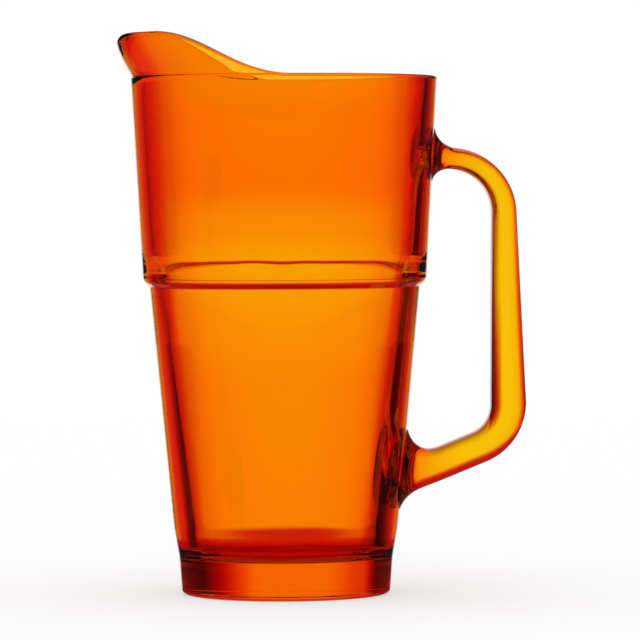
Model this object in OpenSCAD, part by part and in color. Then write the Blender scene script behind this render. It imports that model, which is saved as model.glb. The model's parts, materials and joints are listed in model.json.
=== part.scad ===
// Glass beer pitcher: a tapered vessel with a stacking shoulder and a tall pouring lip, and a strap handle
// fused to its wall. Millimetres, +Z up. The origin is the centre of the face it stands on, the handle is at
// +X and the lip at -X.

/* [Body] */
// Height of the rim above the table
body_h = 224; // [190:1:260]
// Outer diameter of the foot
foot_d = 90.8; // [82:0.2:100]
// Outer diameter of the solid base at the level of the inner floor
base_d = 93; // [84:0.2:100]
// Outer diameter where the wall has drawn in above the base
flank_d = 97.4; // [88:0.2:106]
// Height over which the wall draws in to the base
flank_h = 12.5; // [6:0.5:30]
// Outer diameter just below the stacking shoulder
waist_d = 117.4; // [108:0.2:122]
// Outer diameter just above the stacking shoulder
shoulder_d = 123.2; // [118:0.2:128]
// Outer diameter of the rim
rim_d = 133; // [124:0.2:144]
// Height of the upper body, from the foot of the shoulder to the rim
upper_h = 90.8; // [70:0.2:110]
// Height over which the outer wall steps out at the shoulder
shoulder_h = 2.6; // [2:0.2:8]
// Rounding of the outer shoulder's upper edge
shoulder_round = 4; // [1:0.1:4.4]
// Rounding of the inward corner below it
waist_round = 0.5; // [0.3:0.1:2]
// Rounding where the wall draws in to the base
flank_round = 40; // [5:1:60]
// Rounding of the heel, where the wall meets the table
heel_round = 1.8; // [1:0.1:4]

/* [Glass] */
// Wall thickness at the rim
rim_wall = 5; // [4:0.1:7]
// Wall thickness just above the inner shoulder
upper_wall = 5.6; // [4.5:0.1:8]
// Distance from the waist's outer wall in to the edge of the inner shoulder
waist_wall = 4.3; // [3.8:0.1:6]
// Wall thickness where the lower inner wall begins to draw in
belly_wall = 6.2; // [5:0.1:9]
// How far that place lies below the outer shoulder
belly_drop = 24.5; // [10:0.5:50]
// Rounding of the inner wall there
belly_round = 60; // [10:5:90]
// Wall thickness where the wall meets the floor
foot_wall = 8.8; // [6:0.1:11]
// Height of the inner floor above the table
floor_h = 16; // [10:0.5:24]
// Rounding between the floor and the wall inside
floor_round = 7; // [3:0.5:12]
// How far the inner shoulder lies above the outer one
inner_lift = 3.6; // [2:0.2:8]
// Height over which the inner wall steps out
inner_step_h = 10; // [6:0.5:16]
// Rounding where the inner shoulder turns up into the wall
inner_round = 40; // [10:1:60]
// Rounding of the inner shoulder's edge
inner_edge_round = 0.5; // [0.3:0.1:3]
// Rounding of the rim's two edges
rim_round = 1.3; // [0.3:0.1:1.6]
// Diameter of the hollow under the base
hollow_d = 70; // [50:1:78]
// Depth of the hollow under the base
hollow_depth = 1.6; // [0.6:0.1:4]

/* [Lip] */
// Height of the lip's crests above the rim
lip_rise = 18.5; // [10:0.5:30]
// How far the pouring edge dips below the crests
lip_dip = 3.2; // [0:0.1:6]
// Half width of that dip, in degrees round the body
lip_dip_span = 11; // [6:1:20]
// Outward lean of the pouring edge, in degrees
lip_lean = 29.5; // [10:0.5:35]
// Share of that lean which the lip loses towards its edge
lip_curl = 0.8; // [0:0.05:1]
// Half width of the part at full height, in degrees
lip_crown = 35; // [15:1:45]
// Half width at which the lip runs out into the rim, in degrees
lip_span = 95; // [75:1:105]
// Wall thickness at the pouring edge
lip_wall = 3.6; // [2.4:0.1:5]
// How far the lip stands in from the rim's outer edge, at the mould seam
seam_step = 0.6; // [0.3:0.1:1.2]

/* [Handle] */
// Clear distance from the rim's outer edge out to the grip
grip_gap = 23.4; // [18:0.2:36]
// Thickness of the upper arm
arm_t = 9.6; // [8:0.2:14]
// Thickness of the grip at its upper end
grip_top_t = 10.8; // [8:0.2:16]
// Thickness of the grip at its lower end
grip_t = 15.4; // [10:0.2:18]
// Thickness of the lower arm
lower_t = 14.2; // [10:0.2:18]
// Width of the strap
strap_w = 22; // [16:0.5:30]
// Distance from the rim down to where the middle of the upper arm meets the wall
arm_drop = 34.5; // [26:0.5:60]
// Slope of the upper arm, in degrees
upper_slope = 8; // [0:1:20]
// Height at which the middle of the lower arm meets the wall
lower_root_h = 49; // [40:0.5:70]
// Slope of the lower arm, in degrees
lower_slope = 22; // [0:1:35]
// Radius of the upper bend, along the middle of the strap
upper_bend_r = 24; // [14:0.5:26]
// Radius of the lower bend, along the middle of the strap
lower_bend_r = 20.5; // [14:0.5:26]
// Fillet of the upper root above the arm
upper_fillet_top = 10; // [2:0.5:12]
// Fillet of the upper root below the arm
upper_fillet_under = 8; // [2:0.5:12]
// Fillet of the upper root at both flanks of the arm
upper_fillet_side = 5; // [2:0.5:12]
// Fillet of the lower root above the arm
lower_fillet_top = 18.5; // [2:0.5:24]
// Fillet of the lower root below the arm
lower_fillet_under = 7.5; // [2:0.5:18]
// Fillet of the lower root at both flanks of the arm
lower_fillet_side = 8; // [2:0.5:18]

/* [Hidden] */

$fn = 96;
amber = [1, 0.42, 0.02];
honey = [0.98, 0.68, 0.03];

// Facets of one rounded corner, of one face and the edge of the lip, of one bend and of one fillet
corner_steps = 6;
lip_rows = 4;
edge_steps = 6;
bend_steps = 12;
fillet_steps = 6;
// Angle between two sections of the lip, about
lip_step = 3;
// Share of an edge of an outline that one rounded corner may take up
corner_share = 0.48;
// Run of the slope round the hollow under the base for each unit of its depth
hollow_run = 3;
// Points on one section of the strap, and how square that section is (2 is an ellipse)
strap_points = 28;
strap_square = 2.5;
// Depth to which the lip and the strap are sunk before they are joined or trimmed
lip_sink = 3;
strap_sink = 3;
// Depth below the rim at which the lip's two ends run out
lip_run_out = 0.3;
// How steeply the lip's edge falls from its crown to its ends
lip_fall_power = 2.6;
// Height below which the lip is too low to turn upright
lip_low = 1;
// Distance from the wall at which a fillet begins, as a share of its radius
fillet_start = 0.03;
// Distance over which a root's sections turn, as a share of its widest fillet
root_turn = 1.6;
// Share of an arm's straight run that its root's fillets may take up
root_share = 0.9;

rim_r = rim_d / 2;
shoulder_z = body_h - upper_h;
inner_z = shoulder_z + inner_lift;
belly_z = shoulder_z - belly_drop;

function lerp(a, b, t) = a + (b - a) * t;
function clamp01(t) = max(0, min(1, t));
function smooth(t) = let (c = clamp01(t)) c * c * (3 - 2 * c);
function unit(v) = v / norm(v);

// Outer radius of the lower cone, of the upper cone and of the whole wall at height z
flank_z = floor_h + flank_h;
function lower_r(z) = lerp(flank_d, waist_d, (z - flank_z) / (shoulder_z - flank_z)) / 2;
function upper_r(z) = lerp(shoulder_d, rim_d, (z - shoulder_z - shoulder_h) / (upper_h - shoulder_h)) / 2;
function wall_r(z) = z < shoulder_z ? lower_r(z) : upper_r(z);

// One corner [x, y, radius] of an outline as the points of its arc, no larger than its two edges allow
function corner(before, at, after) =
    let (
        p = [at[0], at[1]],
        u = [before[0], before[1]] - p,
        v = [after[0], after[1]] - p,
        half = acos(unit(u) * unit(v)) / 2,
        r = min(at[2], corner_share * min(norm(u), norm(v)) * tan(half)),
        middle = p + unit(unit(u) + unit(v)) * r / sin(half),
        from = p + unit(u) * r / tan(half) - middle,
        a0 = atan2(from[1], from[0]),
        turn = (180 - 2 * half) * sign(u[0] * v[1] - u[1] * v[0])
    )
    r <= 0 ? [p] : [for (i = [0:corner_steps]) let (a = a0 - turn * i / corner_steps)
        middle + r * [cos(a), sin(a)]];

// A closed outline with each of its corners [x, y, radius] rounded
function rounded(outline) =
    let (n = len(outline))
    [for (i = [0:n - 1]) each corner(outline[(i + n - 1) % n], outline[i], outline[(i + 1) % n])];

// Corners up the outside of the wall, from the heel to the rim
outer_wall = [
    [foot_d / 2, 0, heel_round],
    [base_d / 2, floor_h, flank_round],
    [flank_d / 2, flank_z, flank_round],
    [waist_d / 2, shoulder_z, waist_round],
    [shoulder_d / 2, shoulder_z + shoulder_h, shoulder_round],
    [rim_r, body_h, rim_round],
];

// Corners down the inside of the wall, from the rim to the floor
inner_wall = [
    [rim_r - rim_wall, body_h, rim_round],
    [upper_r(inner_z + inner_step_h) - upper_wall, inner_z + inner_step_h, inner_round],
    [lower_r(shoulder_z) - waist_wall, inner_z, inner_edge_round],
    [lower_r(belly_z) - belly_wall, belly_z, belly_round],
    [lower_r(floor_h) - foot_wall, floor_h, floor_round],
    [0, floor_h, 0],
];

// Corners of the underside, from the axis to the ring that it stands on
underside = [
    [0, hollow_depth, 0],
    [hollow_d / 2 - hollow_run * hollow_depth, hollow_depth, hollow_run * hollow_depth],
    [hollow_d / 2, 0, hollow_depth],
];

// The lip's section is worked out at each angle round the body from the pouring edge
lip_root_r = rim_r - seam_step;
lip_root_wall = rim_wall - 2 * seam_step;

// Fall of the lip from its crown, from 1 to 0, and the height of its edge above the rim
function lip_fall(a) = cos(90 * clamp01((abs(a) - lip_crown) / (lip_span - lip_crown)));
function lip_top(a) =
    (lip_rise + lip_run_out) * pow(lip_fall(a), lip_fall_power)
    - lip_run_out - lip_dip * exp(-pow(a / lip_dip_span, 2));
// Outward slope of the lip's foot at angle a, how much of it is lost at height h, and how far its outside
// stands out there. The lip turns upright mostly just below its edge.
function lip_slope(a) = tan(lip_lean) * pow(cos(90 * clamp01(abs(a) / lip_span)), 3);
function lip_lost(a, h) = lip_curl * pow(clamp01(h / max(lip_low, lip_top(a))), 3);
function lip_out(a, h) = lip_slope(a) * h * (1 - lip_lost(a, h) / 4);

// Heights along one face of the lip, from its sunk root to the centre of its rounded edge
function lip_heights(top) =
    let (start = min(0, (top - lip_sink) / 2))
    concat([-lip_sink], [for (i = [0:lip_rows]) lerp(start, top, i / lip_rows)]);

// Section of the lip at angle a as [radius, height above the rim], up the outside and down the inside
function lip_section(a) =
    let (
        edge_r = lip_wall / 2,
        centre_h = lip_top(a) - edge_r,
        lean = atan(lip_slope(a) * (1 - lip_lost(a, centre_h))),
        heights = lip_heights(centre_h),
        last = len(heights) - 1,
        thick = [for (i = [0:last]) lerp(lip_root_wall, lip_wall, clamp01(heights[i] / lip_rise))],
        outside = [for (h = heights) lip_root_r + lip_out(a, max(0, h))],
        middle = outside[last] - thick[last] / 2
    )
    concat(
        [for (i = [0:last - 1]) [outside[i], heights[i]]],
        [for (i = [0:edge_steps]) let (t = 180 * i / edge_steps - lean)
            [middle + thick[last] / 2 * cos(t), centre_h + edge_r * sin(t)]],
        [for (i = [last - 1:-1:0]) [outside[i] - thick[i], heights[i]]]
    );

// Closed skin over a run of rings that all have the same number of points
module skin(rings) {
    n = len(rings[0]);
    last = len(rings) - 1;
    polyhedron(
        points = [for (ring = rings) each ring],
        faces = concat(
            [[for (j = [0:n - 1]) j]],
            [for (i = [0:last - 1], j = [0:n - 1]) let (k = (j + 1) % n)
                let (a = i * n + j, b = i * n + k, c = a + n, d = b + n)
                each [[a, c, d], [a, d, b]]],
            [[for (j = [n - 1:-1:0]) last * n + j]]
        )
    );
}

module lip() {
    sections = 2 * round(lip_span / lip_step);
    skin([for (i = [0:sections]) let (a = lerp(-lip_span, lip_span, i / sections))
        [for (p = lip_section(a)) [-p[0] * cos(a), p[0] * sin(a), body_h + p[1]]]]);
}

// The strap's middle line: from the wall out along the upper arm, down the grip, back along the lower arm
grip_x = rim_r + grip_gap;
upper_z = body_h - arm_drop;
upper_wall_x = wall_r(upper_z);
lower_wall_x = wall_r(lower_root_h);
upper_bend_x = grip_x + grip_top_t / 2;
upper_bend = [upper_bend_x, upper_z - (upper_bend_x - upper_wall_x) * tan(upper_slope)];
lower_bend_x = grip_x + grip_t / 2;
lower_bend = [lower_bend_x, lower_root_h + (lower_bend_x - lower_wall_x) * tan(lower_slope)];
grip_heading = atan2(lower_bend[1] - upper_bend[1], lower_bend[0] - upper_bend[0]);
lower_heading = -180 + lower_slope;

// A station on the strap: [x, z, heading of its section, half thickness outside and inside, half width]
function station(p, heading, outside, inside, width) = [p[0], p[1], heading, outside, inside, width];

// Length of straight run that a bend of radius r takes up on each side of its corner
function bend_reach(h0, h1, r) = r * tan(abs(h1 - h0) / 2);

// A bend as stations, about the corner where two straight runs would meet
function bend(at, h0, h1, r, t0, t1) =
    let (
        turn = h1 - h0,
        start = at - bend_reach(h0, h1, r) * [cos(h0), sin(h0)],
        centre = start + r * [sin(h0), -cos(h0)]
    )
    [for (i = [0:bend_steps])
        let (
            h = h0 + turn * i / bend_steps,
            half = lerp(t0, t1, i / bend_steps) / 2
        )
        station(centre + r * [-sin(h), cos(h)], h, half, half, strap_w / 2)];

// How far a fillet of radius r stands out at distance s from the wall
function flare(r, s) = s >= r ? 0 : r - sqrt(r * r - pow(r - max(s, fillet_start * r), 2));

// Distances from the wall at which a root's sections lie, the last of them past its widest fillet
function root_distances(fillets) =
    let (reach = max(fillets))
    concat([-strap_sink], [for (i = [0:fillet_steps]) reach * (1 - cos(90 * i / fillet_steps))]);

// A root as stations, out from the wall. Its sections turn from upright, like the wall, to square to the arm.
// Its fillets [outer side, inner side, flanks] are no larger than the room before the arm's bend.
function root(wall_x, z, slope, away, t, asked, room) =
    let (fillets = [for (r = asked) min(r, room)])
    [for (s = root_distances(fillets))
        let (
            turned = slope * smooth(s / (root_turn * max(fillets))),
            half = t / 2 / cos(slope - turned)
        )
        station(
            [wall_x + s, z + s * tan(slope)], away + turned,
            half + flare(fillets[0], s),
            half + flare(fillets[1], s),
            strap_w / 2 + flare(fillets[2], s)
        )];

upper_room = (upper_bend[0] - upper_wall_x) / cos(upper_slope)
    - bend_reach(-upper_slope, grip_heading, upper_bend_r);
lower_room = (lower_bend[0] - lower_wall_x) / cos(lower_slope)
    - bend_reach(grip_heading, lower_heading, lower_bend_r);
upper_root = root(
    upper_wall_x, upper_z, -upper_slope, 0, arm_t,
    [upper_fillet_top, upper_fillet_under, upper_fillet_side], root_share * upper_room
);
lower_root = root(
    lower_wall_x, lower_root_h, lower_slope, -180, lower_t,
    [lower_fillet_under, lower_fillet_top, lower_fillet_side], root_share * lower_room
);

strap = concat(
    upper_root,
    bend(upper_bend, -upper_slope, grip_heading, upper_bend_r, arm_t, grip_top_t),
    bend(lower_bend, grip_heading, lower_heading, lower_bend_r, grip_t, lower_t),
    [for (i = [len(lower_root) - 1:-1:0]) lower_root[i]]
);

// Signed power, for a section between an ellipse and a rectangle
function squared(c) = sign(c) * pow(abs(c), 2 / strap_square);

function strap_ring(s) =
    [for (j = [0:strap_points - 1])
        let (
            a = 360 * j / strap_points,
            across = s[5] * squared(cos(a)),
            side = squared(sin(a)),
            out = side * (side > 0 ? s[3] : s[4])
        )
        [s[0] - sin(s[2]) * out, across, s[1] + cos(s[2]) * out]];

// The vessel without its inside, to trim the strap's roots to the wall
module outer_form() {
    rotate_extrude() polygon(rounded(concat([[0, 0, 0]], outer_wall, [[0, body_h, 0]])));
}

module vessel() {
    color(amber) {
        rotate_extrude() polygon(rounded(concat(underside, outer_wall, inner_wall)));
        lip();
    }
}

module handle() {
    color(honey) difference() {
        skin([for (s = strap) strap_ring(s)]);
        outer_form();
    }
}

vessel();
handle();
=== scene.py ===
"""Looks of an amber glass beer pitcher: clear glass for the vessel and its fused handle, in a studio."""

import json
import math

import bmesh
import bpy
from mathutils import Matrix, Vector


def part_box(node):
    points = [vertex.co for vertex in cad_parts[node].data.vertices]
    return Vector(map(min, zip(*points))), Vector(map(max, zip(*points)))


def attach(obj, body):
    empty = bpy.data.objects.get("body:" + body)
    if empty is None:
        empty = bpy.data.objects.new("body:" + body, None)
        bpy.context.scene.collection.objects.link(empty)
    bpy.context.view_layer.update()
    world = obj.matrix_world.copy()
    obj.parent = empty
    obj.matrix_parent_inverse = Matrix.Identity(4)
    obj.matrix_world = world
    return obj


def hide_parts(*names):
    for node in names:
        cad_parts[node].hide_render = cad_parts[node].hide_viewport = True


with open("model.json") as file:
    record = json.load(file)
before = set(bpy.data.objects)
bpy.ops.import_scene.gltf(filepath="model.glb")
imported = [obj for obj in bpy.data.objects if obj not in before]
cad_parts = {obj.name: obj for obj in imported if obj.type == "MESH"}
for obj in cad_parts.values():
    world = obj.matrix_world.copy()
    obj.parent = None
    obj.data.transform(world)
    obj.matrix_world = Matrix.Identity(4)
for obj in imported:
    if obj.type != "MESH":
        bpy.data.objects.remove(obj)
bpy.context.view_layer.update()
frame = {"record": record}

# Sizes are in millimetres, as on the object; the frame is in metres
MM = 0.001
mount = {m["name"]: Vector(m["pos_m"]) / MM for m in frame["record"]["mounts"]}
vessel_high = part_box("vessel")[1] / MM

# Outside of the body, from the foot to the rim
RIM_H = mount["rim_seat"].z
RIM_R = 66.46
RIM_ROUND = 0.9
FOOT_R = 45.4
BASE_R = 46.5
FLANK_R = 48.7
WAIST_R = 58.7
SHOULDER_R = 61.6
FLANK_H = 12.5
SHOULDER_H = 2.6
SHOULDER_Z = mount["stacking_shoulder"].z - SHOULDER_H / 2
HEEL_ROUND = 1.8
FLANK_ROUND = 40
SHOULDER_ROUND = 4
WAIST_ROUND = 0.5

# Inside of the body, and the hollow under its base
FLOOR_H = 16
FLOOR_ROUND = 7
RIM_WALL = 5
UPPER_WALL = 5.6
WAIST_WALL = 4.3
BELLY_WALL = 6.2
BELLY_DROP = 24.5
BELLY_ROUND = 60
FOOT_WALL = 8.8
INNER_LIFT = 3.6
INNER_STEP_H = 10
INNER_ROUND = 40
INNER_EDGE_ROUND = 0.5
HOLLOW_R = 35
HOLLOW_DEPTH = 1.6
HOLLOW_RUN = 3
# Radius of the smallest ring round the middle of the floor and of the base
CENTRE_R = 2

# Lip, which rises from a mould seam on the rim's outer edge; angles are in degrees, spans from its middle
SEAM_STEP = 0.6
LIP_RISE = vessel_high.z - RIM_H
LIP_DIP = 3.2
LIP_DIP_SPAN = 11
LIP_LEAN = 28.8
LIP_LEAN_POWER = 3
LIP_CROWN = 35
LIP_SPAN = 95
LIP_FALL_POWER = 2.6
LIP_WALL = 3.6
LIP_ROUND = 1.1
# How far below the rim the curve of the lip's top ends
LIP_RUN_OUT = 0.3
# Share of its lean that the lip loses by its edge, and the least height that this takes
LIP_CURL = 0.8
LIP_LOW = 1
# Least share of the way up from the seam at which the edge begins to turn in
EDGE_LOW = 0.3
# Heights above and below the rim over which the inside and the outside turn from the wall into the lip
LIP_BLEND = 4
SEAM_BLEND = 0.01
# How far the lip's sections go on down the inside, below that turn
LIP_TAIL = 1

# Strap of the handle, from the upper arm down the grip to the lower arm
GRIP_GAP = 23.39
ARM_T = 9.6
GRIP_TOP_T = 10.8
GRIP_T = 15.4
LOWER_T = 14.2
STRAP_W = 22
# How square the strap's section is on its outer side and on its inner side (2 is an ellipse)
STRAP_SQUARE = (2.5, 3.1)
ARM_DROP = 34.5
UPPER_SLOPE = math.radians(8)
LOWER_ROOT_H = 49
LOWER_SLOPE = math.radians(22)
UPPER_BEND_R = 24
LOWER_BEND_R = 20.5
# Fillets of a root: on the strap's outer side, on its inner side and on both flanks
UPPER_FILLETS = (10, 8, 5)
LOWER_FILLETS = (7.5, 18.5, 8)
# Hair's breadth between a root and the wall, so that neither shows through the other
ROOT_GAP = 0.05
# Times its fillets' reach over which a root turns to its arm, and the share of an arm that fillets may take
ROOT_TURN = 1.6
ROOT_SHARE = 0.9
# Share of its radius at which a fillet starts, so that it doesn't end in a feather edge
FILLET_START = 0.03

# Fineness of the meshes
AROUND = 240
ARC_STEPS = 8
# Share of an edge of an outline that one rounded corner may take up
CORNER_SHARE = 0.75
# Points along a straight run: the first step from each end, how the steps grow, and the share they stop at
RUN_FIRST = 0.1
RUN_GROWTH = 2.7
RUN_STOP = 0.45
# Least drop from the seam to the row of points below it
SEAM_ROW = 0.05
EDGE_STEPS = 8
# Shares of a face of the lip at which its rows lie: outside from the seam up, inside from the edge down
LIP_OUTSIDE = (0, 0.01, 0.035, 0.1, 0.22, 0.36, 0.5, 0.64, 0.78, 0.89, 0.96, 0.99)
LIP_INSIDE = (0, 0.01, 0.03, 0.08, 0.16, 0.25, 0.34, 0.43, 0.52, 0.61, 0.7, 0.79, 0.87, 0.94, 0.98)
STRAP_POINTS = 72
BEND_STEPS = 30
RUN_STEPS = 20
ROOT_STEPS = 16
CAP_RINGS = 4


def lerp(a, b, t):
    return a + (b - a) * t


def clamp01(t):
    return max(0.0, min(1.0, t))


def smooth(t):
    c = clamp01(t)
    return c * c * (3 - 2 * c)


def wave(angle, terms):
    """Sum of sines round the body: terms are (amplitude, periods in a turn, phase)."""
    return sum(size * math.sin(turns * angle + phase) for size, turns, phase in terms)


# Wall of the body

FLANK_Z = FLOOR_H + FLANK_H
INNER_Z = SHOULDER_Z + INNER_LIFT
INNER_TOP_Z = INNER_Z + INNER_STEP_H
BELLY_Z = SHOULDER_Z - BELLY_DROP
SEAM_R = RIM_R - SEAM_STEP
SEAM_Z = RIM_H - RIM_ROUND + math.sqrt(RIM_ROUND ** 2 - (RIM_ROUND - SEAM_STEP) ** 2)
LIP_TAIL_Z = SEAM_Z - LIP_BLEND - LIP_TAIL


def lower_r(z):
    """Outer radius of the tapered lower body at height z."""
    return lerp(FLANK_R, WAIST_R, (z - FLANK_Z) / (SHOULDER_Z - FLANK_Z))


def upper_r(z):
    """Outer radius of the upper body at height z."""
    foot = SHOULDER_Z + SHOULDER_H
    return lerp(SHOULDER_R, RIM_R, (z - foot) / (RIM_H - foot))


def wall_r(z):
    """Outer radius of the wall at height z, with the shoulder as a plain step."""
    return lower_r(z) if z < SHOULDER_Z else upper_r(z)


def arc(before, at, after, steps):
    """A corner (r, z, rounding) between two others, as the points of its arc."""
    p = Vector(at[:2])
    u = Vector(before[:2]) - p
    v = Vector(after[:2]) - p
    half = u.angle(v) / 2
    radius = min(at[2], CORNER_SHARE * min(u.length, v.length) * math.tan(half))
    if radius <= 0:
        return [p]
    u.normalize()
    v.normalize()
    middle = p + (u + v).normalized() * radius / math.sin(half)
    start = p + u * radius / math.tan(half) - middle
    turn = math.pi - 2 * half
    if u.cross(v) > 0:
        turn = -turn
    return [middle + Matrix.Rotation(turn * i / steps, 2) @ start for i in range(steps + 1)]


def run(p, q):
    """Points between p and q, packed towards both ends, so that a bend's shading ends where the bend does."""
    shares = []
    d = RUN_FIRST / (q - p).length
    while d < RUN_STOP:
        shares.append(d)
        d *= RUN_GROWTH
    return [p.lerp(q, t) for t in shares + [1 - t for t in reversed(shares)]]


def outline(corners):
    """Points along an open run of corners (r, z, rounding)."""
    arcs = [[Vector(corners[0][:2])]]
    for before, at, after in zip(corners, corners[1:], corners[2:]):
        arcs.append(arc(before, at, after, ARC_STEPS))
    arcs.append([Vector(corners[-1][:2])])
    points = list(arcs[0])
    for one, two in zip(arcs, arcs[1:]):
        points += run(one[-1], two[0])
        points += two
    return points


def outer_outline():
    """From near the axis under the base, out to the heel and up to the mould seam."""
    slope_r = HOLLOW_R - HOLLOW_RUN * HOLLOW_DEPTH
    points = outline([
        (CENTRE_R, HOLLOW_DEPTH, 0),
        (slope_r, HOLLOW_DEPTH, HOLLOW_RUN * HOLLOW_DEPTH),
        (HOLLOW_R, 0, HOLLOW_DEPTH),
        (FOOT_R, 0, HEEL_ROUND),
        (BASE_R, FLOOR_H, FLANK_ROUND),
        (FLANK_R, FLANK_Z, FLANK_ROUND),
        (WAIST_R, SHOULDER_Z, WAIST_ROUND),
        (SHOULDER_R, SHOULDER_Z + SHOULDER_H, SHOULDER_ROUND),
        (RIM_R, RIM_H, RIM_ROUND),
        (RIM_R - RIM_WALL, RIM_H, 0),
    ])
    return [p for p in points if p.y < SEAM_Z - SEAM_ROW] + [Vector((SEAM_R, SEAM_Z))]


def inner_wall_r(z):
    """Inner radius of the upper body at height z."""
    low_r = upper_r(INNER_TOP_Z) - UPPER_WALL
    return lerp(low_r, RIM_R - RIM_WALL, (z - INNER_TOP_Z) / (RIM_H - INNER_TOP_Z))


def inner_outline():
    """From where the lip's sections end, down the inner wall to near the middle of the floor."""
    return outline([
        (inner_wall_r(LIP_TAIL_Z), LIP_TAIL_Z, 0),
        (inner_wall_r(INNER_TOP_Z), INNER_TOP_Z, INNER_ROUND),
        (WAIST_R - WAIST_WALL, INNER_Z, INNER_EDGE_ROUND),
        (lower_r(BELLY_Z) - BELLY_WALL, BELLY_Z, BELLY_ROUND),
        (lower_r(FLOOR_H) - FOOT_WALL, FLOOR_H, FLOOR_ROUND),
        (CENTRE_R, FLOOR_H, 0),
    ])


# Lip, as a section at each angle a from its middle

def lip_top(a):
    """Height of the lip's edge above the rim."""
    past_crown = clamp01((abs(a) - LIP_CROWN) / (LIP_SPAN - LIP_CROWN))
    fall = math.cos(math.pi / 2 * past_crown) ** LIP_FALL_POWER
    return (LIP_RISE + LIP_RUN_OUT) * fall - LIP_RUN_OUT - LIP_DIP * math.exp(-(a / LIP_DIP_SPAN) ** 2)


def lip_slope(a):
    """How steeply the lip leans out: most at the pouring edge, not at all where the lip ends."""
    past_edge = clamp01(abs(a) / LIP_SPAN)
    return math.tan(math.radians(LIP_LEAN)) * math.cos(math.pi / 2 * past_edge) ** LIP_LEAN_POWER


def lip_lean(a, h, blend):
    """How far a face of the lip stands out at height h above the rim; blend rounds the turn at its foot."""
    if h <= -blend:
        return 0.0
    rise = (h + blend) ** 2 / (4 * blend) if h < blend else h
    lost = LIP_CURL * clamp01(h / max(LIP_LOW, lip_top(a))) ** 3
    return lip_slope(a) * (rise - max(0.0, h) * lost / 4)


def turned_in(tint_and_shade, rounding):
    """How far a face has turned in at a depth below its rounded top edge."""
    left = clamp01((rounding - tint_and_shade) / rounding)
    return rounding * (1 - math.sqrt(1 - left ** 2))


def lip_section(a):
    """Points (r, z) up the outside of the rim or lip from the seam, over its edge and down the inside."""
    foot = SEAM_Z - RIM_H
    top = max(0.0, lip_top(a))
    wall = lerp(RIM_WALL - SEAM_STEP, LIP_WALL, clamp01(top / LIP_RISE))
    rounding = lerp(RIM_ROUND, LIP_ROUND, smooth(top / LIP_BLEND))
    bend = max(top - rounding, lerp(foot, top, EDGE_LOW))
    heights = [lerp(foot, bend, share) for share in LIP_OUTSIDE]
    heights += [lerp(bend, top, math.sin(math.pi / 2 * i / EDGE_STEPS)) for i in range(EDGE_STEPS + 1)]
    first = turned_in(top - foot, rounding)
    points = []
    for h in heights:
        r = SEAM_R + lip_lean(a, h, SEAM_BLEND) + first - turned_in(top - h, rounding)
        points.append((r, RIM_H + h))
    low = LIP_TAIL_Z - RIM_H
    heights = heights[-2:len(LIP_OUTSIDE):-1] + [lerp(bend, low, share) for share in LIP_INSIDE]
    for h in heights:
        thick = lerp(RIM_WALL - SEAM_STEP, wall, clamp01(h / LIP_RISE))
        drawn_in = inner_wall_r(RIM_H + h) - inner_wall_r(RIM_H) if h < 0 else 0.0
        inside = SEAM_R - thick + drawn_in + lip_lean(a, h, LIP_BLEND)
        points.append((inside + turned_in(top - h, rounding), RIM_H + h))
    return points


# Unevenness of pressed glass: its inner shoulder wanders in and out, and the inside isn't quite round
SHOULDER_WAVES = ((0.05, 7, 0.4), (0.05, 13, 2.1), (0.035, 19, 4.4))
INSIDE_WAVES = ((0.10, 3, 1.0), (0.07, 7, 0.2), (0.04, 11, 2.6))
# Heights over which the waves die away: from the shoulder, towards the floor and towards the rim
SHOULDER_REACH = 7
FLOOR_CALM = 2 * FLOOR_ROUND
RIM_CALM = 20


def uneven_inside(r, z, angle):
    """A point of the inside, moved in or out by the waves of the glass."""
    near_shoulder = math.exp(-((z - INNER_Z) / SHOULDER_REACH) ** 2)
    away_from_floor = smooth((z - FLOOR_H) / FLOOR_CALM)
    away_from_rim = smooth((LIP_TAIL_Z - z) / RIM_CALM)
    r += wave(angle, SHOULDER_WAVES) * near_shoulder
    r += wave(angle, INSIDE_WAVES) * away_from_floor * away_from_rim
    return r, z


def mesh_piece(name, points, faces):
    """A smooth object from points in millimetres and faces."""
    mesh = bpy.data.meshes.new(name)
    mesh.from_pydata([Vector(p) * MM for p in points], [], faces)
    skin = bmesh.new()
    skin.from_mesh(mesh)
    bmesh.ops.recalc_face_normals(skin, faces=skin.faces)
    skin.to_mesh(mesh)
    skin.free()
    mesh.shade_smooth()
    piece = bpy.data.objects.new(name, mesh)
    bpy.context.scene.collection.objects.link(piece)
    return piece


def tube_faces(rings, count):
    """Quads between rings of count points each, in order."""
    faces = []
    for i in range(rings - 1):
        for j in range(count):
            k = (j + 1) % count
            faces.append((i * count + j, i * count + k, (i + 1) * count + k, (i + 1) * count + j))
    return faces


def make_vessel():
    """One closed skin: each ring goes round the body at one step of its outline."""
    outside = [tuple(p) for p in outer_outline()]
    inside = [tuple(p) for p in inner_outline()]
    sections = []
    for i in range(AROUND):
        angle = math.tau * i / AROUND
        from_edge = math.degrees(math.remainder(angle, math.tau))
        wavy = [uneven_inside(r, z, angle) for r, z in inside]
        sections.append((angle, outside + lip_section(from_edge) + wavy))
    rows = len(sections[0][1])
    points = []
    for row in range(rows):
        for angle, section in sections:
            r, z = section[row]
            points.append((-r * math.cos(angle), r * math.sin(angle), z))
    faces = tube_faces(rows, AROUND)
    under = len(points)
    points += [(0, 0, HOLLOW_DEPTH), (0, 0, FLOOR_H)]
    last = (rows - 1) * AROUND
    for j in range(AROUND):
        k = (j + 1) % AROUND
        faces.append((k, j, under))
        faces.append((last + j, last + k, under + 1))
    return mesh_piece("vessel_glass_body", points, faces)


# Strap of the handle, as stations along its middle line

def flare(radius, s):
    """How far a fillet stands out at distance s from the wall."""
    s = max(s, FILLET_START * radius)
    return 0.0 if s >= radius else radius - math.sqrt(radius ** 2 - (radius - s) ** 2)


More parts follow.
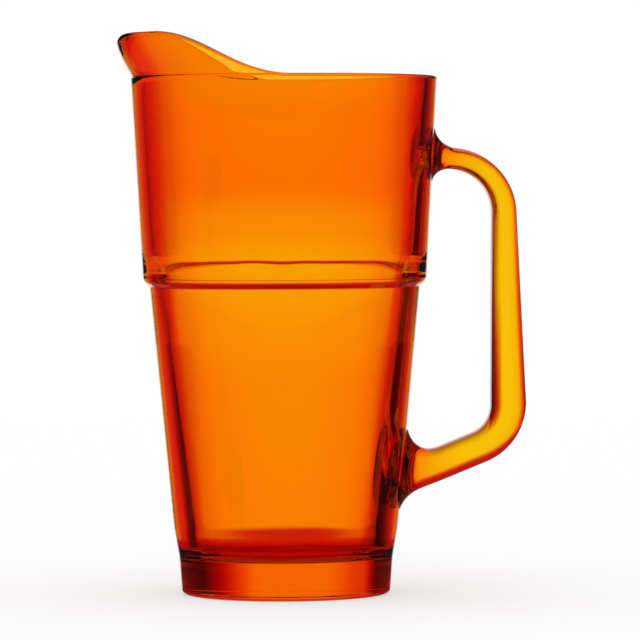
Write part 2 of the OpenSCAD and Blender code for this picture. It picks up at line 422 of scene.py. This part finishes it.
def bend_reach(h0, h1, radius):
    """Length that a bend between two headings takes from each of its runs."""
    return radius * math.tan(abs(h1 - h0) / 2)


class Station:
    """A section of the strap at (x, z), square to its heading.

    outside, inside and width are its half sizes; hug is the share by which it follows the wall, at wall_gap.
    """

    def __init__(self, x, z, heading, outside, inside, width, wall_gap=None, hug=0.0):
        self.x = x
        self.z = z
        self.heading = heading
        self.outside = outside
        self.inside = inside
        self.width = width
        self.wall_gap = wall_gap
        self.hug = hug

    def ring(self, scale=1.0):
        """Points round the section, or round a smaller copy of it."""
        points = []
        for j in range(STRAP_POINTS):
            a = math.tau * j / STRAP_POINTS
            square = STRAP_SQUARE[0] if math.sin(a) > 0 else STRAP_SQUARE[1]
            across = self.width * squared(math.cos(a), square) * scale
            side = squared(math.sin(a), square) * scale
            out = side * (self.outside if side > 0 else self.inside)
            x = self.x - math.sin(self.heading) * out
            z = self.z + math.cos(self.heading) * out
            if self.hug:
                on_wall = math.sqrt(wall_r(z) ** 2 - across ** 2) + self.wall_gap
                x = lerp(x, on_wall, self.hug)
            points.append((x, across, z))
        return points


def squared(c, square):
    """Signed power, for a section between an ellipse and a rectangle."""
    return math.copysign(abs(c) ** (2 / square), c)


def bend_stations(at, h0, h1, radius, t0, t1):
    """A bend about the corner where two straight runs would meet."""
    back = bend_reach(h0, h1, radius)
    start = Vector((at.x - back * math.cos(h0), at.y - back * math.sin(h0)))
    centre = start + radius * Vector((math.sin(h0), -math.cos(h0)))
    stations = []
    for i in range(BEND_STEPS + 1):
        h = lerp(h0, h1, i / BEND_STEPS)
        half = lerp(t0, t1, i / BEND_STEPS) / 2
        p = centre + radius * Vector((-math.sin(h), math.cos(h)))
        stations.append(Station(p.x, p.y, h, half, half, STRAP_W / 2))
    return stations


def root_stations(z, slope, away, thickness, asked, room):
    """A root, out from the wall: its sections turn from upright, like the wall, to square to the arm."""
    fillets = [min(radius, room) for radius in asked]
    reach = max(fillets)
    gaps = [ROOT_GAP + reach * (1 - math.cos(math.pi / 2 * i / ROOT_STEPS)) for i in range(ROOT_STEPS + 1)]
    stations = []
    for s in gaps:
        turned = slope * smooth(s / (ROOT_TURN * reach))
        half = thickness / 2 / math.cos(slope - turned)
        stations.append(Station(
            wall_r(z) + s, z + s * math.tan(slope), away + turned,
            half + flare(fillets[0], s),
            half + flare(fillets[1], s),
            STRAP_W / 2 + flare(fillets[2], s),
            wall_gap=s, hug=1 - smooth(s / reach),
        ))
    return stations


def between(one, two, steps):
    """Stations that pass evenly from one to two, without those two."""
    names = ("x", "z", "heading", "outside", "inside", "width")
    return [
        Station(*[lerp(getattr(one, n), getattr(two, n), i / steps) for n in names])
        for i in range(1, steps)
    ]


def strap_stations():
    """All sections, from the upper root round the grip to the lower root."""
    grip_x = RIM_R + GRIP_GAP
    upper_z = RIM_H - ARM_DROP
    upper_wall = wall_r(upper_z)
    lower_wall = wall_r(LOWER_ROOT_H)
    upper_x = grip_x + GRIP_TOP_T / 2
    lower_x = grip_x + GRIP_T / 2
    upper = Vector((upper_x, upper_z - (upper_x - upper_wall) * math.tan(UPPER_SLOPE)))
    lower = Vector((lower_x, LOWER_ROOT_H + (lower_x - lower_wall) * math.tan(LOWER_SLOPE)))
    down = math.atan2(lower.y - upper.y, lower.x - upper.x)
    back = LOWER_SLOPE - math.pi
    upper_arm = (upper_x - upper_wall) / math.cos(UPPER_SLOPE)
    lower_arm = (lower_x - lower_wall) / math.cos(LOWER_SLOPE)
    upper_room = upper_arm - bend_reach(-UPPER_SLOPE, down, UPPER_BEND_R)
    lower_room = lower_arm - bend_reach(down, back, LOWER_BEND_R)
    upper_root = root_stations(upper_z, -UPPER_SLOPE, 0, ARM_T, UPPER_FILLETS, ROOT_SHARE * upper_room)
    lower_root = root_stations(
        LOWER_ROOT_H, LOWER_SLOPE, -math.pi, LOWER_T, LOWER_FILLETS, ROOT_SHARE * lower_room
    )[::-1]
    upper_bend = bend_stations(upper, -UPPER_SLOPE, down, UPPER_BEND_R, ARM_T, GRIP_TOP_T)
    lower_bend = bend_stations(lower, down, back, LOWER_BEND_R, GRIP_T, LOWER_T)
    grip = between(upper_bend[-1], lower_bend[0], RUN_STEPS)
    return upper_root + upper_bend + grip + lower_bend + lower_root


def make_handle():
    """One closed skin along the strap; each end is capped by rings that follow the wall."""
    stations = strap_stations()
    shares = [i / CAP_RINGS for i in range(1, CAP_RINGS)]
    rings = [stations[0].ring(share) for share in shares]
    rings += [s.ring() for s in stations]
    rings += [stations[-1].ring(share) for share in reversed(shares)]
    points = [p for ring in rings for p in ring]
    faces = tube_faces(len(rings), STRAP_POINTS)
    start = len(points)
    points += [sum((Vector(p) for p in ring), Vector()) / STRAP_POINTS for ring in (rings[0], rings[-1])]
    last = (len(rings) - 1) * STRAP_POINTS
    for j in range(STRAP_POINTS):
        k = (j + 1) % STRAP_POINTS
        faces.append((k, j, start))
        faces.append((last + j, last + k, start + 1))
    return mesh_piece("handle_glass_strap", points, faces)


# Materials

def new_material(name):
    """An empty material and its node tree."""
    material = bpy.data.materials.new(name)
    material.use_nodes = True
    material.node_tree.nodes.clear()
    return material, material.node_tree


def math_node(tree, operation, a, b=None, clamp=False):
    """Result of an operation on numbers or sockets."""
    node = tree.nodes.new("ShaderNodeMath")
    node.operation = operation
    node.use_clamp = clamp
    for socket, value in zip(node.inputs, (a, b)):
        if isinstance(value, bpy.types.NodeSocket):
            tree.links.new(value, socket)
        elif value is not None:
            socket.default_value = value
    return node.outputs["Value"]


def invert(tree, value):
    return math_node(tree, "SUBTRACT", 1.0, value)


def ramp_between(tree, value, low, high):
    """0 below low, 1 above high and a smooth step between them."""
    node = tree.nodes.new("ShaderNodeMapRange")
    node.interpolation_type = "SMOOTHSTEP"
    tree.links.new(value, node.inputs["Value"])
    node.inputs["From Min"].default_value = low
    node.inputs["From Max"].default_value = high
    return node.outputs["Result"]


GLASS_IOR = 1.5
REFLECTION_TINT = (1.0, 0.6, 0.25, 1)
# Colour that the glass takes on through its thickness, and how strongly
VESSEL_BODY = ((0.993, 0.75, 0.0), 60)
HANDLE_BODY = ((0.975, 0.80, 0.0), 40)
# Tint of the vessel's outside and inside by how far a face turns away: (share turned away, colour). Face-on
# it is the glass's own amber; the darker red as faces turn away, in a band on the outside, is painted shade
# at its edges
OUTER_TINTS = (
    (0.00, (1.0, 0.66, 0.02)),
    (0.12, (1.0, 0.62, 0.015)),
    (0.30, (1.0, 0.47, 0.004)),
    (0.38, (1.0, 0.34, 0.002)),
    (0.45, (0.99, 0.09, 0.001)),
    (0.52, (0.97, 0.024, 0.001)),
    (0.64, (0.92, 0.008, 0.001)),
    (0.70, (0.95, 0.020, 0.001)),
    (0.77, (1.0, 0.16, 0.004)),
    (0.86, (1.0, 0.38, 0.01)),
)
INNER_TINTS = (
    (0.00, (1.0, 0.66, 0.02)),
    (0.20, (1.0, 0.60, 0.015)),
    (0.50, (1.0, 0.34, 0.004)),
    (0.75, (1.0, 0.16, 0.002)),
    (1.00, (0.95, 0.06, 0.001)),
)
# Deeper tint of the vessel away from its shoulder: (height, colour), and the height that its ramp spans
VESSEL_DEPTHS = (
    (0, (1.0, 0.76, 0.8)),
    (30, (1.0, 0.80, 0.8)),
    (90, (1.0, 0.81, 0.8)),
    (115, (1.0, 0.90, 0.9)),
    (140, (1.0, 1.00, 1.0)),
    (160, (1.0, 0.84, 0.9)),
    (178, (1.0, 0.67, 0.8)),
    (205, (1.0, 0.69, 0.8)),
    (225, (1.0, 0.77, 0.8)),
)
VESSEL_SPAN = 250
# Rings of painted shade, two dark ones where the wall turns into the floor and a red one at the shoulder:
# heights over which each comes, heights over which it goes, and its colour
SHADE_RINGS = (
    ((16.2, 17.2), (22.6, 25.2), (0.60, 0.004, 0.05)),
    ((16.2, 17.2), (18.0, 19.4), (0.34, 0.002, 0.04)),
    ((132.6, 133.4), (135.2, 136.6), (0.80, 0.16, 0.2)),
)
# Tint of the handle's outer and inner side by how far a face turns away: (share turned away, colour). Face-on
# it is the glass's own honey colour; the darkening towards its edges is painted shade, and the brown of its
# inner side, towards the body, is a painted band of shade
HANDLE_TINTS = (
    (0.00, (1.0, 0.64, 0.006)),
    (0.05, (1.0, 0.59, 0.005)),
    (0.17, (1.0, 0.42, 0.004)),
    (0.41, (1.0, 0.15, 0.002)),
    (0.60, (0.94, 0.03, 0.001)),
    (0.90, (0.80, 0.006, 0.001)),
)
HANDLE_INNER_TINTS = (
    (0.00, (1.0, 0.64, 0.006)),
    (0.05, (0.97, 0.59, 0.005)),
    (0.09, (0.87, 0.53, 0.005)),
    (0.14, (0.74, 0.46, 0.004)),
    (0.22, (0.54, 0.35, 0.004)),
    (0.31, (0.41, 0.25, 0.003)),
    (0.41, (0.32, 0.15, 0.002)),
    (0.60, (0.25, 0.03, 0.001)),
)
# Painted shade of the handle near the wall, dark red at the wall, black just past it and lighter out along
# its arms:
# (distance, colour), and the distance that its ramp spans
HANDLE_ROOT_SHADE = (
    (0, (0.40, 0.02, 0.02)),
    (0.3, (0.40, 0.02, 0.02)),
    (0.6, (0.03, 0.002, 0.01)),
    (3.0, (0.04, 0.002, 0.01)),
    (4.6, (1.0, 0.40, 0.4)),
    (9, (1.0, 0.58, 0.5)),
    (16, (1.0, 0.80, 0.7)),
    (26, (1.0, 1.00, 1.0)),
)
HANDLE_SPAN = 50


def colour_ramp(tree, value, table):
    """Colour for a value, from a table of (value, colour)."""
    ramp = tree.nodes.new("ShaderNodeValToRGB")
    ramp.color_ramp.interpolation = "EASE"
    stops = ramp.color_ramp.elements
    while len(stops) < len(table):
        stops.new(1.0)
    for stop, (place, colour) in zip(stops, table):
        stop.position = place
        stop.color = (*colour, 1)
    tree.links.new(value, ramp.inputs["Fac"])
    return ramp.outputs["Color"]


def outside_of(tree):
    """1 on faces that look away from the body's axis, 0 on those that look towards it."""
    place = tree.nodes.new("ShaderNodeTexCoord")
    geometry = tree.nodes.new("ShaderNodeNewGeometry")
    flat = tree.nodes.new("ShaderNodeVectorMath")
    flat.operation = "MULTIPLY"
    tree.links.new(place.outputs["Object"], flat.inputs[0])
    flat.inputs[1].default_value = (1, 1, 0)
    away = tree.nodes.new("ShaderNodeVectorMath")
    away.operation = "DOT_PRODUCT"
    tree.links.new(flat.outputs["Vector"], away.inputs[0])
    tree.links.new(place.outputs["Normal"], away.inputs[1])
    # The normal is turned round for a ray that meets a face from behind
    back = math_node(tree, "MULTIPLY", geometry.outputs["Backfacing"], -2.0)
    return math_node(
        tree, "GREATER_THAN",
        math_node(tree, "MULTIPLY", away.outputs["Value"], math_node(tree, "ADD", back, 1.0)), 0.0,
    )


def blend(tree, kind, factor, a, b):
    """Two colours mixed by a factor, which is a number or a socket."""
    node = tree.nodes.new("ShaderNodeMix")
    node.data_type = "RGBA"
    node.blend_type = kind
    if isinstance(factor, bpy.types.NodeSocket):
        tree.links.new(factor, node.inputs["Factor"])
    else:
        node.inputs["Factor"].default_value = factor
    tree.links.new(a, node.inputs["A"])
    tree.links.new(b, node.inputs["B"])
    return node.outputs["Result"]


def position(tree):
    """Place on the object: its x, y and z."""
    node = tree.nodes.new("ShaderNodeSeparateXYZ")
    tree.links.new(tree.nodes.new("ShaderNodeTexCoord").outputs["Object"], node.inputs["Vector"])
    return [node.outputs[axis] for axis in "XYZ"]


def along_line(tree, value, a, b):
    """The line through two points (value, result), for values past them too."""
    slope = (b[1] - a[1]) / (b[0] - a[0])
    return math_node(tree, "ADD", math_node(tree, "MULTIPLY", value, slope), a[1] - slope * a[0])


def wall_distance(tree):
    """Distance out from the outer wall, with the shoulder as a plain step."""
    x, y, z = position(tree)
    square = math_node(tree, "ADD", math_node(tree, "MULTIPLY", x, x), math_node(tree, "MULTIPLY", y, y))
    lower = along_line(tree, z, (FLANK_Z * MM, FLANK_R * MM), (SHOULDER_Z * MM, WAIST_R * MM))
    upper = along_line(tree, z, ((SHOULDER_Z + SHOULDER_H) * MM, SHOULDER_R * MM), (RIM_H * MM, RIM_R * MM))
    above = math_node(tree, "GREATER_THAN", z, SHOULDER_Z * MM)
    step = math_node(tree, "MULTIPLY", above, math_node(tree, "SUBTRACT", upper, lower))
    wall = math_node(tree, "ADD", lower, step)
    return math_node(tree, "SUBTRACT", math_node(tree, "SQRT", square), wall)


def depth_of(tree, value, table, span):
    """Deeper tint for a value, from a table of (millimetres, colour) that spans so many millimetres."""
    shares = [(place / span, colour) for place, colour in table]
    return colour_ramp(tree, math_node(tree, "DIVIDE", value, span * MM), shares)


def vessel_tint_and_shade(tree):
    """Deeper tint of the vessel by height, with rings of painted shade where the wall turns into the floor
    and at the shoulder.
    """
    height = position(tree)[2]
    tint_and_shade = depth_of(tree, height, VESSEL_DEPTHS, VESSEL_SPAN)
    # Rings of painted shade, laid over the tint by height
    for comes, goes, colour in SHADE_RINGS:
        starts = ramp_between(tree, height, comes[0] * MM, comes[1] * MM)
        ends = ramp_between(tree, height, goes[0] * MM, goes[1] * MM)
        shade_colour = tree.nodes.new("ShaderNodeRGB")
        shade_colour.outputs["Color"].default_value = (*colour, 1)
        ring = math_node(tree, "SUBTRACT", starts, ends)
        tint_and_shade = blend(tree, "MIX", ring, tint_and_shade, shade_colour.outputs["Color"])
    return tint_and_shade


def handle_root_shade(tree):
    """Painted shade of the handle by its distance from the wall: black at its roots, lighter further out."""
    return depth_of(tree, wall_distance(tree), HANDLE_ROOT_SHADE, HANDLE_SPAN)


def glass(name, outer, inner, tint_and_shade, body):
    """Clear coloured glass, tinted through its thickness and by a surface colour with painted shade: darker
    as its faces turn away, and by the given tint and shade.
    """
    material, tree = new_material(name)
    nodes, links = tree.nodes, tree.links
    # Painted shade: the surface colour darkens as faces turn away, towards the glass's edges
    facing = nodes.new("ShaderNodeLayerWeight").outputs["Facing"]
    sides = [colour_ramp(tree, facing, tints) for tints in (inner, outer)]
    tint = blend(tree, "MIX", outside_of(tree), *sides)
    shader = nodes.new("ShaderNodeBsdfPrincipled")
    shader.inputs["Transmission Weight"].default_value = 1
    shader.inputs["Roughness"].default_value = 0
    shader.inputs["IOR"].default_value = GLASS_IOR
    shader.inputs["Specular Tint"].default_value = REFLECTION_TINT
    # The given tint, with its painted shade, darkens the colour further
    links.new(blend(tree, "MULTIPLY", 1, tint, tint_and_shade(tree)), shader.inputs["Base Color"])
    colour, density = body
    volume = nodes.new("ShaderNodeVolumeAbsorption")
    volume.inputs["Color"].default_value = (*colour, 1)
    volume.inputs["Density"].default_value = density
    out = nodes.new("ShaderNodeOutputMaterial")
    links.new(shader.outputs["BSDF"], out.inputs["Surface"])
    links.new(volume.outputs["Volume"], out.inputs["Volume"])
    return material


# Camera, at the photograph's viewing angle

EYE = Vector((-114.46, -1926.6, 173.2)) * MM
AIM = Vector((15.22, 0, 118.4)) * MM
ROLL = math.radians(-0.259)
LENS = 250.06
FAR_CLIP = 100


def make_camera():
    data = bpy.data.cameras.new("camera")
    data.lens = LENS
    data.clip_end = FAR_CLIP
    camera = bpy.data.objects.new("camera", data)
    turn = (AIM - EYE).to_track_quat("-Z", "Y").to_matrix()
    camera.matrix_world = Matrix.Translation(EYE) @ (turn @ Matrix.Rotation(ROLL, 3, "Z")).to_4x4()
    bpy.context.scene.collection.objects.link(camera)
    bpy.context.scene.camera = camera


# Studio as the glass sees it: a white backdrop, a dim ceiling above and dim flags at the sides

# Angles over which the light falls off there, and the level of red light to which it falls
CEILING = (math.radians(7), math.radians(19), 0.55)
FLAG_RIGHT = (math.radians(8), math.radians(40), 0.03)
FLAG_LEFT = (math.radians(14), math.radians(34), 0.80)
FLAG_FAR_LEFT = (math.radians(34), math.radians(47), 0.07)
# Angles at which the flags end, round the pitcher, upward and downward
FLAG_END = (math.radians(70), math.radians(85))
FLAG_TOP = (math.radians(7), math.radians(10))
FLAG_FOOT = (math.radians(12.5), math.radians(14.5))
# The flags and the ceiling are of red cloth: the power of their level that green and blue light fall to
CLOTH_RED = 6
# Half width of the part of the backdrop that the glass mirrors, and the level of the room beside it
MIRRORED = (math.radians(13), math.radians(20))
ROOM_DARK = 0.03


def dot_with(tree, vector, direction):
    """How far a vector goes along a fixed direction."""
    node = tree.nodes.new("ShaderNodeVectorMath")
    node.operation = "DOT_PRODUCT"
    tree.links.new(vector, node.inputs[0])
    node.inputs[1].default_value = direction
    return node.outputs["Value"]


def reflected(tree, path):
    """1 for a ray that comes from a reflection; a ray that comes through glass counts as glossy too."""
    return math_node(
        tree, "SUBTRACT", path.outputs["Is Glossy Ray"], path.outputs["Is Transmission Ray"], clamp=True
    )


def fall_off(tree, angle, start, end, level):
    """1 at angles below start, level at angles past end."""
    lost = math_node(tree, "MULTIPLY", ramp_between(tree, angle, start, end), 1 - level)
    return math_node(tree, "SUBTRACT", 1.0, lost)


def make_world():
    """White for the camera and the table, the studio for rays through glass, a dark room for mirrors."""
    world = bpy.data.worlds.new("studio")
    bpy.context.scene.world = world
    world.use_nodes = True
    tree = world.node_tree
    nodes, links = tree.nodes, tree.links
    nodes.clear()
    ray = nodes.new("ShaderNodeTexCoord").outputs["Generated"]
    ahead = (AIM - EYE).to_2d().normalized()
    along = dot_with(tree, ray, (ahead.x, ahead.y, 0))
    aside = dot_with(tree, ray, (ahead.y, -ahead.x, 0))
    height = math_node(tree, "ARCSINE", dot_with(tree, ray, (0, 0, 1)))
    right = math_node(tree, "ARCTAN2", aside, along)
    left = math_node(tree, "MULTIPLY", right, -1.0)
    round_to = math_node(tree, "ABSOLUTE", right)
    flags = fall_off(tree, left, *FLAG_LEFT)
    flags = math_node(tree, "MULTIPLY", flags, fall_off(tree, left, *FLAG_FAR_LEFT))
    flags = math_node(tree, "MULTIPLY", flags, fall_off(tree, right, *FLAG_RIGHT))
    fall = math_node(tree, "MULTIPLY", height, -1.0)
    past = ramp_between(tree, round_to, *FLAG_END)
    past = math_node(tree, "MAXIMUM", past, ramp_between(tree, height, *FLAG_TOP))
    past = math_node(tree, "MAXIMUM", past, ramp_between(tree, fall, *FLAG_FOOT))
    level = math_node(tree, "MAXIMUM", flags, past)
    level = math_node(tree, "MULTIPLY", level, fall_off(tree, height, *CEILING))

    path = nodes.new("ShaderNodeLightPath")
    mirrors = reflected(tree, path)
    room = fall_off(tree, round_to, *MIRRORED, ROOM_DARK)
    level = math_node(tree, "MINIMUM", level, math_node(tree, "MAXIMUM", room, invert(tree, mirrors)))
    plain = math_node(tree, "MAXIMUM", path.outputs["Is Camera Ray"], path.outputs["Is Diffuse Ray"])
    level = math_node(tree, "MAXIMUM", level, plain)
    colour = nodes.new("ShaderNodeCombineColor")
    cloth = math_node(tree, "SUBTRACT", CLOTH_RED, math_node(tree, "MULTIPLY", mirrors, CLOTH_RED - 1))
    less_red = math_node(tree, "POWER", level, cloth)
    links.new(level, colour.inputs["Red"])
    links.new(less_red, colour.inputs["Green"])
    links.new(less_red, colour.inputs["Blue"])
    background = nodes.new("ShaderNodeBackground")
    links.new(colour.outputs["Color"], background.inputs["Color"])
    out = nodes.new("ShaderNodeOutputWorld")
    links.new(background.outputs["Background"], out.inputs["Surface"])


# Table top, as the floor of the studio
TABLE_R = 1500
TABLE_GAP = 0.2
TABLE_POINTS = 96
# Its colour, the share of light that it gives by itself where it is seen, and its colour in reflections
TABLE_COLOUR = 0.9
TABLE_GLOW = 0.5
TABLE_MIRRORED = 0.08
# Shares turned away over which it clears for rays that leave the glass
TABLE_CLEAR = (0.70, 0.745)


def make_floor():
    """A pale table top, dark in reflections. Rays that leave the glass at a shallow angle pass it."""
    angles = [math.tau * i / TABLE_POINTS for i in range(TABLE_POINTS)]
    ring = [(TABLE_R * math.cos(a), TABLE_R * math.sin(a), -TABLE_GAP) for a in angles]
    floor = mesh_piece("floor", ring, [tuple(range(TABLE_POINTS))])
    material, tree = new_material("pale_floor")
    nodes, links = tree.nodes, tree.links
    path = nodes.new("ShaderNodeLightPath")
    seen = math_node(tree, "MAXIMUM", path.outputs["Is Camera Ray"], path.outputs["Is Transmission Ray"])
    glow = nodes.new("ShaderNodeEmission")
    links.new(math_node(tree, "MULTIPLY", seen, TABLE_GLOW), glow.inputs["Strength"])
    shade = math_node(tree, "MULTIPLY", seen, TABLE_COLOUR - (1 - TABLE_GLOW))
    mirrored = math_node(tree, "MULTIPLY", reflected(tree, path), TABLE_COLOUR - TABLE_MIRRORED)
    colour = math_node(tree, "SUBTRACT", math_node(tree, "SUBTRACT", TABLE_COLOUR, shade), mirrored)
    diffuse = nodes.new("ShaderNodeBsdfDiffuse")
    links.new(colour, diffuse.inputs["Color"])
    pale = nodes.new("ShaderNodeAddShader")
    links.new(glow.outputs["Emission"], pale.inputs[0])
    links.new(diffuse.outputs["BSDF"], pale.inputs[1])
    clear = nodes.new("ShaderNodeBsdfTransparent")
    facing = nodes.new("ShaderNodeLayerWeight").outputs["Facing"]
    shallow = ramp_between(tree, facing, *TABLE_CLEAR)
    through = math_node(tree, "MAXIMUM", path.outputs["Is Transmission Ray"], path.outputs["Is Glossy Ray"])
    fac = math_node(tree, "MULTIPLY", through, shallow)
    mix = nodes.new("ShaderNodeMixShader")
    links.new(fac, mix.inputs["Fac"])
    links.new(pale.outputs["Shader"], mix.inputs[1])
    links.new(clear.outputs["BSDF"], mix.inputs[2])
    out = nodes.new("ShaderNodeOutputMaterial")
    links.new(mix.outputs["Shader"], out.inputs["Surface"])
    floor.data.materials.append(material)


make_camera()
make_world()
make_floor()
bpy.context.scene.view_settings.view_transform = "Standard"

vessel = make_vessel()
vessel.data.materials.append(glass("amber_glass", OUTER_TINTS, INNER_TINTS, vessel_tint_and_shade, VESSEL_BODY))
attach(vessel, "root")
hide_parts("vessel")

handle = make_handle()
handle.data.materials.append(
    glass("honey_glass", HANDLE_TINTS, HANDLE_INNER_TINTS, handle_root_shade, HANDLE_BODY)
)
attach(handle, "root")
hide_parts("handle")
